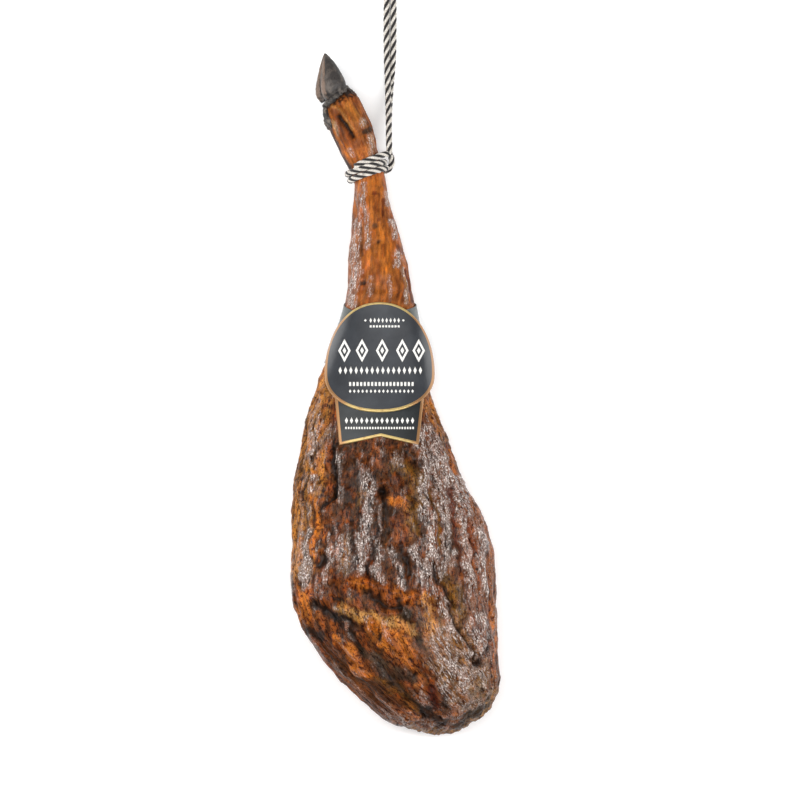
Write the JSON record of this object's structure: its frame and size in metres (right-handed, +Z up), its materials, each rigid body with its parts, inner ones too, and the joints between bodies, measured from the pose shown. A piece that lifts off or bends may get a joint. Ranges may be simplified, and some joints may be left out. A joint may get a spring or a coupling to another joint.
{
  "type": "cured ham",
  "caption": "Whole bone-in dry-cured ham lying on its side, with hoof, paper neck collar and card, and a twisted hanging rope hitched round the ankle.",
  "frame": {"origin": "on the surface that the ham rests on, under the middle of the ham with its hoof, without the rope's free legs and knot", "axes": "+Y from the butt to the hoof, +Z up from the flattened under side to the show side, +X to the right seen from above with the hoof at the top"},
  "size_m": [0.2503, 0.9554, 0.118],
  "materials": {
    "skin": "gloss",
    "horn": "satin",
    "card": "satin",
    "band_paper": "satin",
    "ribbon_card": "satin",
    "rope": "matte"
  },
  "bodies": {
    "root": {"ham_leg": "skin", "outer_claw": "horn", "inner_claw": "horn", "outer_dewclaw": "horn", "inner_dewclaw": "horn", "neck_band": "band_paper", "main_label": "card", "ribbon_label": "ribbon_card", "rope_hitch": "rope", "rope_leg_left": "rope", "rope_leg_right": "rope", "rope_knot": "rope"}
  },
  "joints": []
}
